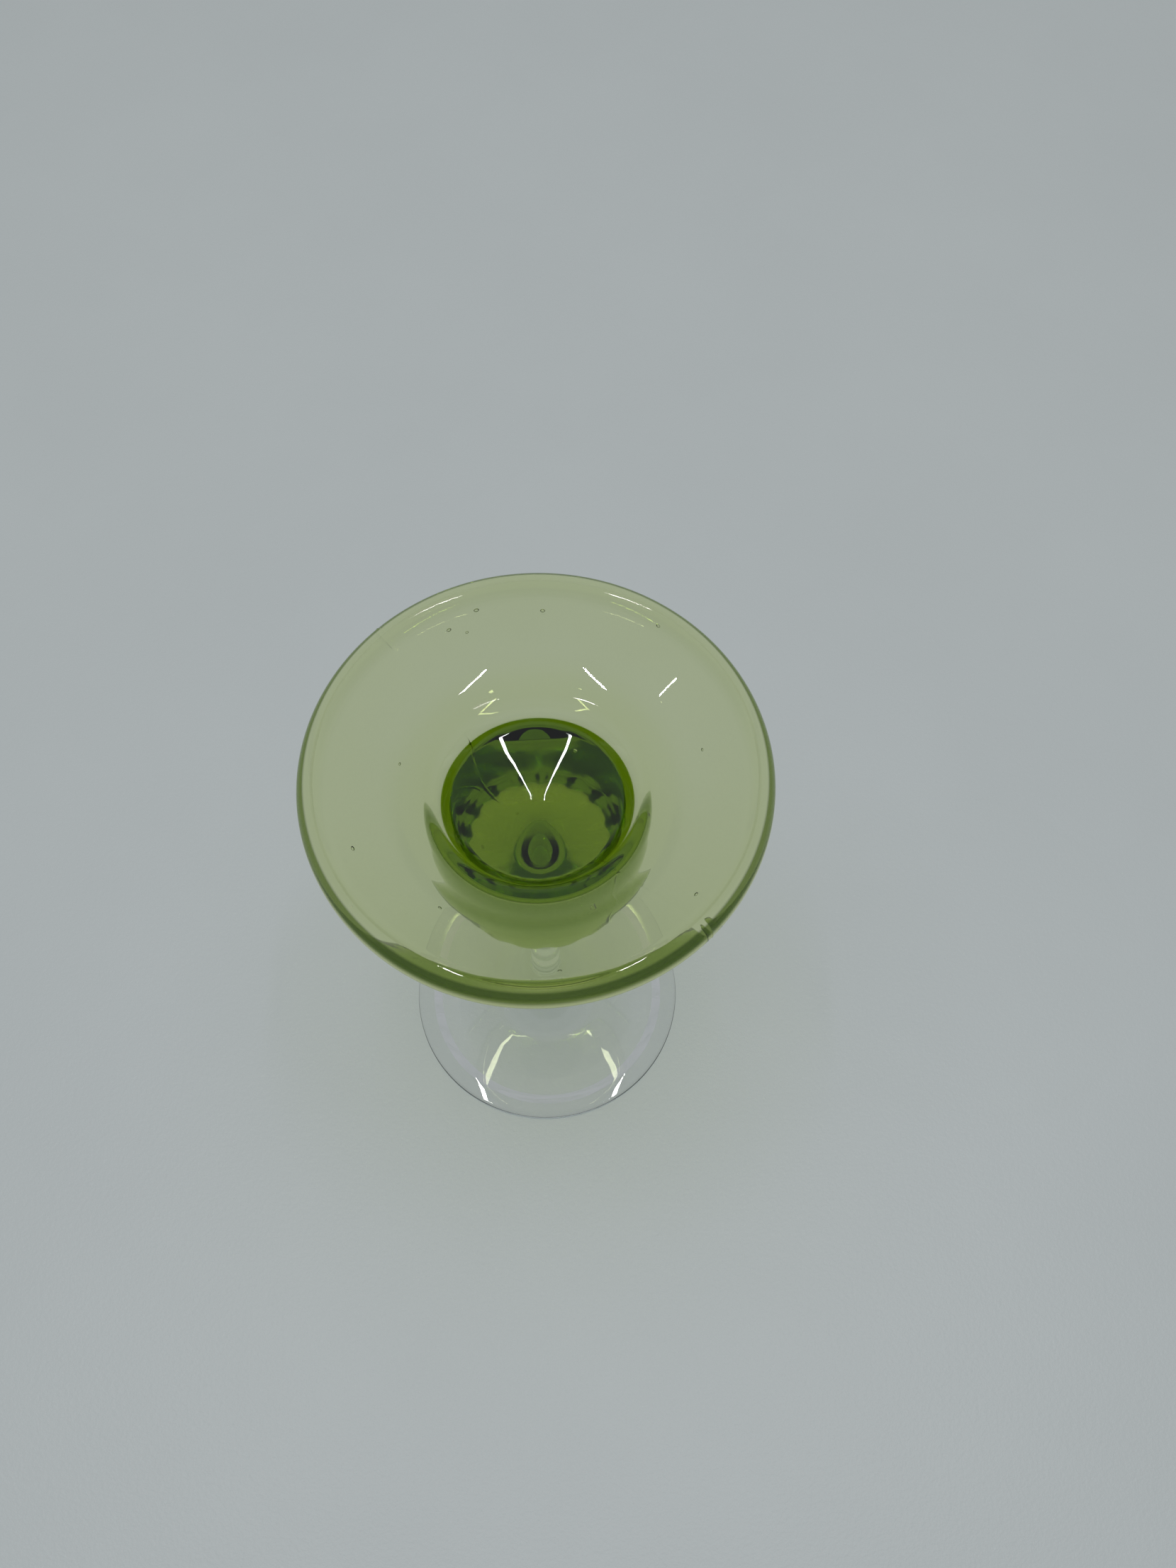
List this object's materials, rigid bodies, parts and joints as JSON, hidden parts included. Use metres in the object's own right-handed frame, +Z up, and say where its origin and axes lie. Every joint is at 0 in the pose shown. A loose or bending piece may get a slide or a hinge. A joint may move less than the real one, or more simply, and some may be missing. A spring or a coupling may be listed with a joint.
{
  "type": "stemmed cocktail glass",
  "caption": "Stemmed cocktail glass with a wide green saucer bowl on a thick solid green base with a shallow well in its middle, on a slim clear stem and a round clear foot.",
  "frame": {"origin": "centre of the foot's resting plane", "axes": "+Z up along the stem, from the foot to the bowl"},
  "size_m": [0.112, 0.112, 0.1689],
  "materials": {
    "green_glass": "fire-polished green glass",
    "clear_glass": "polished clear glass"
  },
  "bodies": {
    "root": {"bowl": "green_glass", "stem": "clear_glass", "foot": "clear_glass"}
  },
  "joints": []
}
